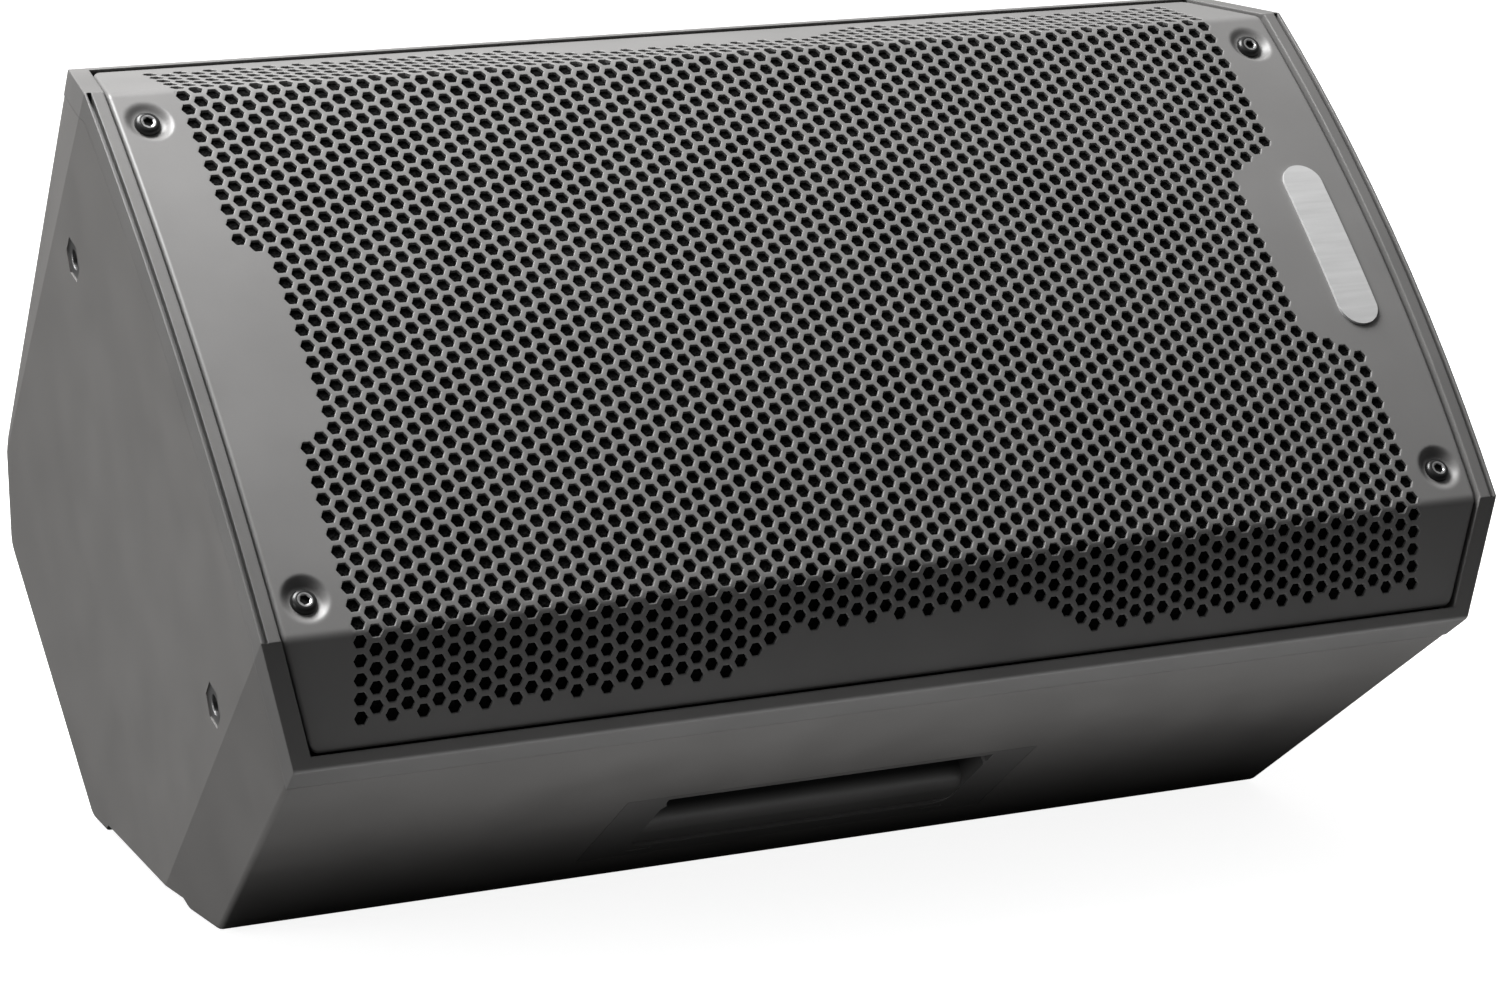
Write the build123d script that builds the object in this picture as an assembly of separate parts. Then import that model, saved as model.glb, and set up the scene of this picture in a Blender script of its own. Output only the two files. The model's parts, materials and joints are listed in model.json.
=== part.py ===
from build123d import *
import math
import os

# Stage monitor wedge: a compact two-way powered loudspeaker that lies on its floor facet.
# The cabinet is drawn in its own axes: x along its length, y across the front (towards the
# floor edge), z into the cabinet from the front. STAND then leans it back onto the floor.

# ---- driving dimensions, millimetres ----
LEAN = 45.0                 # angle of the front face to the floor
HALF_LENGTH = 225.0         # at the creases of the front
END_TAPER = 0.126           # how far each end leans in, per millimetre of depth
CREASE_Y = 102.0            # creases between the crowned centre and the bent strips
LIP_Y = 132.0               # outer edges of the bent strips
LIP_Z = 28.8
CROWN = 7.0                 # rise of the centre above the creases
BACK_Z = 254.4              # rear flat
REAR_TOP = (-110.0, 218.4)  # rear corner of the upper side face, (y, z)
BACK_TOP_Y = -87.0          # rear flat, upper edge
FLOOR_EDGE = (118.9, 160.7) # corner of the lower side face and the floor facet, (y, z)
PAD_PROUD = 1.0             # rubber pads stand this far out of the floor facet
CHANNEL_DEPTH = 3.4         # the floor facet is recessed between its two foot rails

WALL = 5.0
FRAME_DEPTH = 10.0          # thickness of the front frame behind the front profile
BAFFLE_DEPTH = 6.0          # front of the baffle skin behind the front profile
RIM = 6.4                   # rim round the grille, on the ends
LIP_RIM = 3.6               # and along the lips
LIP_ROUND = 2.4
GRILLE_GAP = 1.1
LIP_GAP = 0.6
GRILLE_DROP = 0.8           # the grille sits this far below the rim
GRILLE_T = 1.2
GRILLE_FOLD = 4.6           # depth of the grille's folded edge
FOAM_T = 3.6

SEAT_Z = 18.5               # flat seats of the woofer and the horn
SEAT_T = 4.0
WOOFER_X = 92.0
WOOFER_R = 104.0
HORN_X = -93.0
HORN_MOUTH = (120.0, 172.0)
PORT_X = -188.0
PORT_Y = 55.0
PORT_R = 17.0
PORT_LENGTH = 60.0

GRILLE_SCREWS = [(sx * 207.0, sy * 89.0) for sx in (-1, 1) for sy in (-1, 1)]
END_SCREWS = [(-210.0, -20.0), (-210.0, 20.0), (210.0, -60.0), (210.0, 60.0)]
STRIP_SCREWS = [(-8.0, -116.0), (-8.0, 116.0)]
STRIP_SEAT = 22.5           # the strip screws sit in flat counterbores at this depth

PANEL_Y = -31.0             # middle of the amplifier panel on the rear flat
PANEL_SIZE = (304.0, 94.0)
PANEL_Z = 240.0             # outer face of the panel, recessed from the rear flat
PANEL_T = 2.5
GASKET_T = 1.5
LEDGE_T = 6.0

HANDLE_HALF = 77.0          # half length of the hand recess
HANDLE_FROM = 66.0          # distances along the lower side face from the front lip
HANDLE_TO = 116.0
HANDLE_DEPTH = 38.0
SLOT_HALF = 61.0
SLOT_FROM = 72.0
SLOT_TO = 92.0

INSERT_Y = 84.5             # rigging plates in the left end
INSERT_Z = 69.0
M8_R = 3.4                  # tapping size of M8
POLE_Z = 148.0              # axis of the pole socket in the right end
POLE_R = 17.75              # for a 35 mm pole
POLE_DEPTH = 80.0

PANEL_IN = PANEL_Z - PANEL_T
FAR = 400.0
MIN = (Align.CENTER, Align.CENTER, Align.MIN)
MAX = (Align.CENTER, Align.CENTER, Align.MAX)


# ---- cabinet outline ----
def line_through(a, b):
    """Unit normal and offset of the line from a to b, the normal on its right."""
    dy, dz = b[0] - a[0], b[1] - a[1]
    size = math.hypot(dy, dz)
    normal = (dz / size, -dy / size)
    return normal, normal[0] * a[0] + normal[1] * a[1]


def crossing(first, second):
    """Point where two lines, each a normal and an offset, cross."""
    (a, b), p = first
    (c, d), q = second
    det = a * d - b * c
    return ((p * d - b * q) / det, (a * q - p * c) / det)


def sides(inset):
    """Cross-section of the cabinet's sides, back and floor facet, moved in by inset."""
    floor_slope = FLOOR_EDGE[0] + FLOOR_EDGE[1]
    corners = [
        (-LIP_Y, LIP_Z), REAR_TOP, (BACK_TOP_Y, BACK_Z),
        (floor_slope - BACK_Z, BACK_Z), FLOOR_EDGE, (LIP_Y, LIP_Z),
    ]
    lines = []
    for a, b in zip(corners, corners[1:]):
        normal, offset = line_through(b, a)
        lines.append((normal, offset - inset))
    lines.append(((0.0, -1.0), 30.0))
    return [crossing(lines[i - 1], lines[i]) for i in range(len(lines))]


def end_planes():
    """Outer planes of the right end: the end face and its two bevels, as three points each."""
    crease = (HALF_LENGTH, CREASE_Y, 0.0)
    upper_crease = (HALF_LENGTH, -CREASE_Y, 0.0)
    lip = HALF_LENGTH - 10.0
    foot = (198.9, FLOOR_EDGE[0], FLOOR_EDGE[1])
    rear = (196.5, REAR_TOP[0], REAR_TOP[1])
    deep = HALF_LENGTH - END_TAPER * BACK_Z
    return [
        (crease, upper_crease, (deep, 0.0, BACK_Z)),
        (crease, (lip, LIP_Y, LIP_Z), foot),
        (upper_crease, (lip, -LIP_Y, LIP_Z), rear),
    ]


def outward(points, inset):
    """Plane through three points, facing away from the cabinet's middle, moved in by inset."""
    a, b, c = (Vector(*p) for p in points)
    normal = (b - a).cross(c - a).normalized()
    if normal.X < 0:
        normal = normal * -1.0
    return a - normal * inset, normal


def prism(points, half=FAR):
    """Solid between x = -half and x = half with the given (y, z) outline."""
    return extrude(Plane.YZ * make_face(Polyline(*points, close=True)), amount=half, both=True)


def front_points(depth):
    """The front profile, moved in by depth: crease, middle and strip points for y > 0."""
    radius = (CREASE_Y ** 2 + CROWN ** 2) / (2 * CROWN)
    tilt = math.asin(CREASE_Y / radius)
    bend = math.atan2(LIP_Z, LIP_Y - CREASE_Y)
    share = depth / (1 + math.cos(bend - tilt))
    y = CREASE_Y - share * (math.sin(tilt) + math.sin(bend))
    z = share * (math.cos(tilt) + math.cos(bend))
    reach = 60.0
    return (0.0, -CROWN + depth), (y, z), (y + reach * math.cos(bend), z + reach * math.sin(bend))


def behind(depth):
    """Everything deeper than the front profile moved in by depth."""
    middle, crease, strip = front_points(depth)
    arc = ThreePointArc((-crease[0], crease[1]), middle, crease)
    rest = Polyline(crease, strip, (strip[0], 300.0), (-strip[0], 300.0), (-strip[0], strip[1]),
                    (-crease[0], crease[1]))
    return extrude(Plane.YZ * make_face(arc + rest), amount=FAR, both=True)


def body(inset, side_inset=None):
    """The cabinet's outline with its ends and its sides moved in, open-ended at the front."""
    solid = prism(sides(inset if side_inset is None else side_inset))
    for points in end_planes():
        origin, normal = outward(points, inset)
        for side in (1, -1):
            cut = Plane(origin=(side * origin.X, origin.Y, origin.Z),
                        z_dir=(side * normal.X, normal.Y, normal.Z))
            solid = split(solid, bisect_by=cut, keep=Keep.BOTTOM)
    return solid


def surface_z(y, depth=0.0):
    """Depth of the crowned centre at y, moved in by depth."""
    radius = (CREASE_Y ** 2 + CROWN ** 2) / (2 * CROWN) - depth
    return depth - CROWN + radius - math.sqrt(radius ** 2 - y ** 2)


# ---- small helpers ----
def disc(x, y, z, radius, height):
    return Pos(x, y, z) * Cylinder(radius, height, align=MIN)


def ring(x, y, z, outer, inner, height):
    return disc(x, y, z, outer, height) - disc(x, y, z - 1, inner, height + 2)


def block(x, y, z, length, width, height, radius=0.0):
    """Box on its middle (x, y), from z upwards, with rounded upright edges."""
    solid = Box(length, width, height, align=MIN)
    if radius:
        solid = fillet(solid.edges().filter_by(Axis.Z), radius)
    return Pos(x, y, z) * solid


def turned(x, y, points):
    """Solid of revolution about the line through (x, y) along z; points are (radius, z)."""
    return Pos(x, y, 0) * revolve(Plane.XZ * make_face(Polyline(*points, close=True)), Axis.Z)


def group(solids):
    return Compound(children=list(solids))


def on_end(side, y, z):
    """Plane on an end face, x along the face towards the back, z outwards."""
    origin, normal = outward(end_planes()[0], 0.0)
    x = origin.X - normal.Z / normal.X * (z - origin.Z)
    return Plane(origin=(side * x, y, z), x_dir=(0, 1, 0), z_dir=(side * normal.X, 0, normal.Z))


def lower_side():
    """Plane on the lower side face: x along the cabinet, y from the front lip to the floor."""
    normal, offset = line_through((LIP_Y, LIP_Z), FLOOR_EDGE)
    return Plane(origin=(0, LIP_Y, LIP_Z), x_dir=(-1, 0, 0), z_dir=(0, normal[0], normal[1]))


def floor_facet():
    """Plane on the floor facet: x along the cabinet, y from the floor edge to the rear."""
    return Plane(origin=(0, FLOOR_EDGE[0], FLOOR_EDGE[1]), x_dir=(-1, 0, 0), z_dir=(0, 1, 1))


def cap_screw(x, y, z, size, length):
    """Socket-head screw pointing into the cabinet; z is the underside of its head."""
    head = disc(x, y, z - size, size * 0.875, size) + disc(x, y, z, size / 2, length)
    hexagon = extrude(Pos(x, y, z - size) * RegularPolygon(size * 0.45, 6), amount=size * 0.6)
    return head - hexagon


def button_screw(x, y, z, size, length):
    """Domed socket-head screw pointing into the cabinet; z is the underside of its head."""
    high = size * 0.55
    head = disc(x, y, z - high, size * 0.95, high)
    head = fillet(head.faces().sort_by(Axis.Z)[0].edges(), high * 0.8)
    hexagon = extrude(Pos(x, y, z - high) * RegularPolygon(size * 0.35, 6), amount=high * 0.8)
    return head + disc(x, y, z, size / 2, length) - hexagon


def panel_screw(x, y, z, size, length):
    """Round-head screw on the rear panel, pointing forwards; z is the underside of its head."""
    head = disc(x, y, z, size, size * 0.6)
    head = fillet(head.faces().sort_by(Axis.Z)[-1].edges(), size * 0.25)
    shank = Pos(x, y, z) * Cylinder(size / 2, length, align=MAX)
    cross = block(x, y, z + size * 0.3, size * 1.1, size * 0.25, size)
    return head + shank - cross - Pos(x, y, 0) * Rot(0, 0, 90) * Pos(-x, -y, 0) * cross


# ---- cabinet, frame and grille ----
def floor_section(points):
    """Prism along the cabinet from points given along the floor facet and out of it."""
    root2 = math.sqrt(2.0)
    flat = [(FLOOR_EDGE[0] + (out - along) / root2, FLOOR_EDGE[1] + (out + along) / root2)
            for along, out in points]
    return prism(flat)


def floor_channel():
    d = CHANNEL_DEPTH
    return floor_section([(22, 0), (27, -d), (111, -d), (116, 0), (116, 9), (22, 9)])


def screw_bosses():
    """Bosses on the shell's inner walls that take the front frame's screws."""
    posts = [disc(x, y, -5, 9, 50) for x, y in END_SCREWS]
    posts += [block(x, y + math.copysign(6, y), 0, 16, 24, 48) for x, y in STRIP_SCREWS]
    return posts


def cabinet_shell():
    outer = body(0.0)
    long_edges = outer.edges().filter_by(Axis.X)
    corners = [e for e in long_edges if e.center().Z > LIP_Z]
    outer = fillet(corners, 7.0)
    end_edges = [e for e in outer.edges() if abs(e.center().X) > 190 and e.center().Z > 60]
    outer = fillet(end_edges, 2.0)
    inner = body(WALL) - floor_section([(-400, 40), (-400, -WALL - CHANNEL_DEPTH),
                                        (400, -WALL - CHANNEL_DEPTH), (400, 40)])
    shell = outer - inner
    inside = body(WALL / 2)
    for post in screw_bosses():
        shell += post & inside
    tub = block(0, PANEL_Y, PANEL_IN - GASKET_T - LEDGE_T, PANEL_SIZE[0] + 14,
                PANEL_SIZE[1] + 14, 60) & outer
    shell += tub
    for x, y, z in ((-HALF_LENGTH, INSERT_Y, INSERT_Z), (-HALF_LENGTH, -INSERT_Y, INSERT_Z)):
        shell += (on_end(-1, y, z) * Cylinder(11, 24, align=MAX)) & inside
    shell &= behind(FRAME_DEPTH)
    shell -= floor_channel()
    shell -= block(0, PANEL_Y, PANEL_IN - GASKET_T, PANEL_SIZE[0] + 1.6, PANEL_SIZE[1] + 1.6, 60, 5)
    shell -= block(0, PANEL_Y, 200, PANEL_SIZE[0] - 20, PANEL_SIZE[1] - 20, 80, 4)
    for x, y in panel_screw_places():
        shell -= Pos(x, y, PANEL_IN) * Cylinder(2.05, 40, align=MAX)
    for x, y in END_SCREWS + STRIP_SCREWS:
        shell -= disc(x, y, 0, 2.05, 44)
    side = lower_side()
    middle = (HANDLE_FROM + HANDLE_TO) / 2
    width = HANDLE_TO - HANDLE_FROM
    shell -= side * Pos(0, middle, 0) * Box(2 * HANDLE_HALF, width, 5.0)
    shell -= side * Pos(0, middle, 0) * Box(2 * HANDLE_HALF - 8, width - 8, 30.0)
    shell -= on_end(1, 0, POLE_Z) * Cylinder(31, 6)
    shell -= Pos(200, 0, POLE_Z) * Rot(0, 90, 0) * Cylinder(POLE_R + 3.25, 60)
    for y in (-INSERT_Y, INSERT_Y):
        shell -= insert_place(y) * extrude(RegularPolygon(7.5, 6), amount=-20)
    for place in end_feet_places():
        shell -= place * Cylinder(10, 2.0, align=MAX)
    for place in floor_pad_places():
        shell -= place * block(0, 0, -2.5, 18, 12, 6, 3)
    return shell


def insert_place(y):
    """Plane of a rigging insert, turned so that its flats face across the end."""
    return on_end(-1, y, INSERT_Z) * Rot(0, 0, 30)


def end_feet_places():
    spots = [(-78.0, 60.0), (78.0, 60.0), (-78.0, 185.0), (40.0, 200.0)]
    return [on_end(1, y, z) for y, z in spots]


def floor_pad_places():
    """Rubber pads on the two foot rails, in from the ends."""
    facet = floor_facet()
    near = [facet * Pos(side * 186.0, 10.5, 0) for side in (-1, 1)]
    far = [facet * Pos(side * 176.0, 124.0, 0) for side in (-1, 1)]
    return near + far


def slab(inset, front, back, side_inset=None):
    """Bent slab under the front: the outline with its ends and sides moved in, between two depths."""
    return (body(inset, side_inset) & behind(front)) - behind(back)


def rim_groove():
    """Shadow groove between the rim and the cabinet's outer edge, along both ends."""
    groove = slab(0.8, -1.0, 3.2) - body(2.3)
    return groove & Box(600, 2 * CREASE_Y, 100)


def front_frame():
    frame = slab(0.0, 0.0, FRAME_DEPTH)
    lip = [e for e in frame.edges() if abs(e.center().Y) > LIP_Y - 0.5 and e.length > 300]
    frame = fillet(lip, LIP_ROUND)
    frame -= slab(RIM, -5.0, BAFFLE_DEPTH, LIP_RIM)
    frame -= rim_groove()
    solid_zone = behind(BAFFLE_DEPTH) & body(WALL + 0.3)
    seats = disc(WOOFER_X, 0, -8, WOOFER_R + 8, SEAT_Z + SEAT_T + 8)
    seats += block(HORN_X, 0, -8, 148, 202, SEAT_Z + SEAT_T + 8)
    frame += seats & solid_zone
    frame -= disc(WOOFER_X, 0, -20, WOOFER_R + 2, SEAT_Z + 20)
    frame -= disc(WOOFER_X, 0, -20, 93, 80)
    frame -= block(HORN_X, 0, -20, 142, 196, SEAT_Z + 20, 6)
    frame -= block(HORN_X, 0, -20, HORN_MOUTH[0] + 7, HORN_MOUTH[1] + 7, 80, 14)
    for x, y in GRILLE_SCREWS:
        frame += disc(x, y, grille_seat(y) + 1.2, 5.5, 14) & body(WALL) - behind(FRAME_DEPTH + 6)
        frame -= disc(x, y, -10, 2.2, 60)
    for x, y in END_SCREWS:
        frame -= disc(x, y, -20, 2.2, 60)
    for x, y in STRIP_SCREWS:
        frame -= disc(x, y, -20, 4.4, STRIP_SEAT + 20) + disc(x, y, -20, 2.2, 60)
    for y in (-PORT_Y, PORT_Y):
        frame -= disc(PORT_X, y, -20, PORT_R + 2.5, 60)
    for x, y in woofer_screw_places() + horn_screw_places():
        frame -= disc(x, y, 0, 2.55, 60)
    return frame


def grille_seat(y):
    """Bottom of a grille screw's pressed dimple."""
    return surface_z(y, GRILLE_DROP) + 2.6


def grille():
    """Bent steel sheet with its edges folded back, its perforation left out here."""
    end, lip = RIM + GRILLE_GAP, LIP_RIM + LIP_GAP
    tray = slab(end, GRILLE_DROP, GRILLE_DROP + GRILLE_FOLD, lip)
    tray -= slab(end + GRILLE_T, GRILLE_DROP + GRILLE_T, GRILLE_DROP + GRILLE_FOLD + 5,
                 lip + GRILLE_T)
    for x, y in GRILLE_SCREWS:
        top = surface_z(y, GRILLE_DROP)
        seat = grille_seat(y)
        tray -= disc(x, y, -20, 7.4, 60)
        tray += turned(x, y, [(7.6, top), (4.7, seat), (2.2, seat), (2.2, seat + GRILLE_T),
                              (5.4, seat + GRILLE_T), (8.3, top + GRILLE_T)])
    return tray


def grille_foam():
    front = GRILLE_DROP + GRILLE_T
    inside = GRILLE_T + 0.3
    foam = slab(RIM + GRILLE_GAP + inside, front, front + FOAM_T, LIP_RIM + LIP_GAP + inside)
    for x, y in GRILLE_SCREWS:
        foam -= disc(x, y, -20, 9.5, 60)
    for x, y in END_SCREWS + STRIP_SCREWS:
        foam -= disc(x, y, -20, 6.0, 60)
    return foam


def grille_screws():
    return group(button_screw(x, y, grille_seat(y), 4.4, 12.0) for x, y in GRILLE_SCREWS)


def frame_screws():
    screws = [button_screw(x, y, surface_z(abs(y) - 3.5, BAFFLE_DEPTH), 4.0, 20.0)
              for x, y in END_SCREWS]
    screws += [button_screw(x, y, STRIP_SEAT, 4.0, 20.0) for x, y in STRIP_SCREWS]
    return group(screws)


def badge():
    """Plain nameplate on the unpunched right end of the grille."""
    plate = slab(0.0, GRILLE_DROP - 1.0, GRILLE_DROP)
    return plate & block(199, 0, -30, 15, 66, 40, 7.4)


# ---- woofer ----
FLANGE_Z = SEAT_Z - 4.0
BACK_OF_BASKET = 79.0
COIL_R = 25.4


def woofer_screw_places():
    turn = [math.radians(22.5 + 45 * i) for i in range(8)]
    return [(WOOFER_X + 99.5 * math.cos(a), 99.5 * math.sin(a)) for a in turn]


def woofer_basket():
    basket = turned(WOOFER_X, 0, [
        (WOOFER_R, FLANGE_Z), (WOOFER_R, SEAT_Z), (92.5, SEAT_Z), (62, BACK_OF_BASKET - 4),
        (62, BACK_OF_BASKET), (28, BACK_OF_BASKET), (28, BACK_OF_BASKET - 2.5),
        (59, BACK_OF_BASKET - 2.5), (67, 64), (56, 64), (56, 62), (67.8, 62), (89.5, SEAT_Z),
        (90, FLANGE_Z)])
    for i in range(6):
        window = Pos(80, 0, 42) * Box(60, 52, 32)
        basket -= Pos(WOOFER_X, 0, 0) * Rot(0, 0, 30 + 60 * i) * window
    for x, y in woofer_screw_places():
        basket -= disc(x, y, 0, 2.55, 40)
    return basket


def woofer_gasket():
    gasket = ring(WOOFER_X, 0, FLANGE_Z - 3.6, WOOFER_R, 95, 2.8)
    for x, y in woofer_screw_places():
        gasket -= disc(x, y, 0, 2.55, 40)
    return gasket


def woofer_surround():
    """Half-roll rubber edge from the cone out to the basket flange."""
    roll_r, roll, t = 90.2, 4.8, 0.8
    base = FLANGE_Z
    outer = ThreePointArc((roll_r - roll, base), (roll_r, base - roll), (roll_r + roll, base))
    inner_r = roll - t
    inner = ThreePointArc((roll_r + inner_r, base), (roll_r, base - inner_r), (roll_r - inner_r, base))
    profile = outer + Line((roll_r + roll, base), (roll_r + inner_r, base)) + inner
    profile += Line((roll_r - inner_r, base), (roll_r - roll, base))
    edge = revolve(Plane.XZ * make_face(profile), Axis.Z)
    edge += ring(0, 0, base - t, WOOFER_R - 0.2, roll_r + roll - 0.3, t)
    edge += ring(0, 0, base - t, roll_r - roll + 0.3, 82.5, t)
    surround = Pos(WOOFER_X, 0, 0) * edge
    for x, y in woofer_screw_places():
        surround -= disc(x, y, 0, 2.55, 40)
    return surround


def woofer_cone():
    """Paper cone, gently flared, from the coil former out to the surround."""
    t = 1.1
    flare = [(85.0, FLANGE_Z), (62.0, 27.0), (42.0, 40.0), (COIL_R, 55.0)]
    front = Spline(flare)
    back = Spline([(r, z + t) for r, z in reversed(flare)])
    profile = front + Line(flare[-1], (COIL_R, 55.0 + t)) + back
    profile += Line((85.0, FLANGE_Z + t), flare[0])
    return Pos(WOOFER_X, 0, 0) * revolve(Plane.XZ * make_face(profile), Axis.Z)


def dust_cap():
    rim_r, top, t = 34.0, 36.5, 0.7
    base = 45.2
    outer = ThreePointArc((-rim_r, base), (0, top), (rim_r, base))
    inner = ThreePointArc((rim_r - t, base), (0, top + t), (t - rim_r, base))
    profile = outer + Line((rim_r, base), (rim_r - t, base)) + inner
    profile += Line((t - rim_r, base), (-rim_r, base))
    half = Plane.XZ * make_face(profile)
    half = half & Pos(50, 0, 40) * Box(100, 10, 100)
    return Pos(WOOFER_X, 0, 0) * revolve(half, Axis.Z)


def voice_coil_former():
    return ring(WOOFER_X, 0, 56.2, COIL_R, COIL_R - 0.4, 36.5)


def voice_coil_winding():
    return ring(WOOFER_X, 0, 77, COIL_R + 0.6, COIL_R, 12)


def spider():
    """Corrugated disc that centres the coil former."""
    t, steps = 0.7, 5
    inner_r, outer_r = COIL_R, 60.0
    pitch = (outer_r - 6 - inner_r - 4) / steps
    wave = [(inner_r, 61.3), (inner_r + 4, 61.3)]
    for i in range(steps):
        start = inner_r + 4 + i * pitch
        wave += [(start + pitch * 0.25, 60.0), (start + pitch * 0.75, 62.0), (start + pitch, 61.3)]
    wave += [(outer_r, 61.3)]
    lower = [(r, z + t) for r, z in reversed(wave)]
    return turned(WOOFER_X, 0, wave + lower)


def woofer_top_plate():
    return ring(WOOFER_X, 0, BACK_OF_BASKET, 58, 26.5, 8)


def woofer_magnet():
    magnet = ring(WOOFER_X, 0, BACK_OF_BASKET + 8, 65, 32, 20)
    return magnet


def woofer_yoke():
    yoke = disc(WOOFER_X, 0, BACK_OF_BASKET + 28, 58, 8) + disc(WOOFER_X, 0, BACK_OF_BASKET, 24.5, 30)
    return yoke - disc(WOOFER_X, 0, 0, 8, 200)


def woofer_screws():
    return group(cap_screw(x, y, FLANGE_Z - 3.6, 5.0, 14.0) for x, y in woofer_screw_places())


# ---- horn and compression driver ----
THROAT_Z = 80.0
THROAT_R = 12.7


def horn_screw_places():
    return [(HORN_X + sx * 65.5, y) for sx in (-1, 1) for y in (-91.0, 0.0, 91.0)]


def horn_form(grow):
    """Solid of the horn's flare, grown outwards by grow."""
    z_mid = SEAT_Z + 22
    mouth = Pos(0, 0, FLANGE_Z) * RectangleRounded(HORN_MOUTH[0] + 2 * grow, HORN_MOUTH[1] + 2 * grow, 12 + grow)
    middle = Pos(0, 0, z_mid) * RectangleRounded(58 + 2 * grow, 84 + 2 * grow, 16 + grow)
    throat = Pos(0, 0, THROAT_Z) * RectangleRounded(2 * THROAT_R + 2 * grow, 2 * THROAT_R + 2 * grow,
                                                    THROAT_R + grow - 0.05)
    return Pos(HORN_X, 0, 0) * loft([mouth, middle, throat], ruled=False)


def horn_waveguide():
    horn = horn_form(2.6)
    horn += block(HORN_X, 0, FLANGE_Z, 140, 194, SEAT_Z - FLANGE_Z, 5)
    horn += disc(HORN_X, 0, THROAT_Z - 4, 30, 4)
    horn -= horn_form(0.0)
    horn -= disc(HORN_X, 0, THROAT_Z - 6, THROAT_R, 10)
    for x, y in horn_screw_places():
        horn -= disc(x, y, 0, 2.55, 40)
    return horn


def horn_screws():
    return group(cap_screw(x, y, FLANGE_Z, 5.0, 12.0) for x, y in horn_screw_places())


def driver_front_plate():
    return ring(HORN_X, 0, THROAT_Z, 42, THROAT_R, 10)


def driver_magnet():
    return ring(HORN_X, 0, THROAT_Z + 10, 45, 24, 16)


def driver_back_plate():
    return ring(HORN_X, 0, THROAT_Z + 26, 42, 23, 6)


def driver_diaphragm():
    """Domed diaphragm over the driver's gap."""
    base, rise, t = THROAT_Z + 32, 7.0, 0.6
    dome = ThreePointArc((-20, base), (0, base + rise), (20, base))
    under = ThreePointArc((20 - t, base), (0, base + rise - t), (t - 20, base))
    profile = dome + Line((20, base), (20 - t, base)) + under + Line((t - 20, base), (-20, base))
    half = (Plane.XZ * make_face(profile)) & Pos(50, 0, 110) * Box(100, 10, 100)
    edge = ring(0, 0, base, 27, 19.6, 0.8)
    return Pos(HORN_X, 0, 0) * (revolve(half, Axis.Z) + edge)


def driver_rear_cap():
    cap = disc(HORN_X, 0, THROAT_Z + 32, 36, 14)
    cap = fillet(cap.faces().sort_by(Axis.Z)[-1].edges(), 4)
    return cap - disc(HORN_X, 0, THROAT_Z + 31, 30, 12)


def port_tubes():
    """Two flared port tubes set in the baffle beside the horn."""
    tubes = []
    for y in (-PORT_Y, PORT_Y):
        front = surface_z(PORT_Y, BAFFLE_DEPTH) + 1.5
        tube = disc(PORT_X, y, front, PORT_R + 2.5, PORT_LENGTH) - disc(PORT_X, y, -20, PORT_R, 200)
        tubes.append(tube)
    return group(tubes)


# ---- handle, socket, inserts and feet ----
def handle_cup():
    """Hand pocket let into the lower side face, with a rounded grip bar across it."""
    middle = (HANDLE_FROM + HANDLE_TO) / 2
    width = HANDLE_TO - HANDLE_FROM
    cup = Pos(0, middle, 0) * Box(2 * HANDLE_HALF - 0.4, width - 0.4, 2.5, align=MAX)
    cup += Pos(0, middle, 0) * Box(2 * HANDLE_HALF - 9, width - 9, HANDLE_DEPTH, align=MAX)
    bar_to = HANDLE_TO - 7
    pocket = Box(2 * SLOT_HALF, bar_to - SLOT_FROM, HANDLE_DEPTH - 2, align=MAX)
    pocket = fillet(pocket.edges().filter_by(Axis.Z), 6)
    cup -= Pos(0, (SLOT_FROM + bar_to) / 2, 1) * pocket
    bar = Box(2 * SLOT_HALF, bar_to - SLOT_TO + 2, 13, align=MAX)
    bar = fillet(bar.edges().filter_by(Axis.X), 6.0)
    cup += Pos(0, (SLOT_TO + bar_to + 2) / 2, -0.4) * bar
    brow = Pos(0, HANDLE_FROM + 2, 0) * Rot(-18, 0, 0) * Box(2 * SLOT_HALF, 12, 6, align=MIN)
    cup -= brow
    for side in (-1, 1):
        cup -= Pos(side * 56, 111.5, 0) * Box(9, 1.6, 3)
    return lower_side() * cup


def pole_socket():
    """Blind tube for a 35 mm stand pole, along the cabinet, in the right end."""
    mouth_x = HALF_LENGTH - END_TAPER * POLE_Z
    deep = mouth_x - POLE_DEPTH
    tube = Pos(deep - 3, 0, POLE_Z) * Rot(0, 90, 0) * Cylinder(POLE_R + 3.25, 120, align=MIN)
    tube += on_end(1, 0, POLE_Z) * Cylinder(30.8, 3, align=MAX)
    tube &= body(0.0)
    return tube - Pos(deep, 0, POLE_Z) * Rot(0, 90, 0) * Cylinder(POLE_R, 120, align=MIN)


def rigging_inserts():
    inserts = []
    for y in (-INSERT_Y, INSERT_Y):
        hexagon = insert_place(y) * Pos(0, 0, -0.6) * extrude(RegularPolygon(7.5, 6), amount=-19.4)
        inserts.append(hexagon - insert_place(y) * Cylinder(M8_R, 60))
    return group(inserts)


def floor_pads():
    pads = []
    for place in floor_pad_places():
        pad = block(0, 0, -2.5, 18, 12, 2.5 + PAD_PROUD, 3)
        pad = fillet(pad.faces().sort_by(Axis.Z)[-1].edges(), 0.6)
        pads.append(place * pad)
    return group(pads)


def end_feet():
    feet = []
    for place in end_feet_places():
        foot = Cylinder(10, 5.0, align=MAX)
        foot = fillet(foot.faces().sort_by(Axis.Z)[-1].edges(), 1.0)
        feet.append(place * Pos(0, 0, 3.0) * foot)
    return group(feet)


def damping_wadding():
    """Felt against the inside of the upper side face."""
    felt = body(WALL + 0.4) - body(WALL + 10.4)
    return felt & Pos(0, -110, 130) * Box(300, 90, 140)


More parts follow.
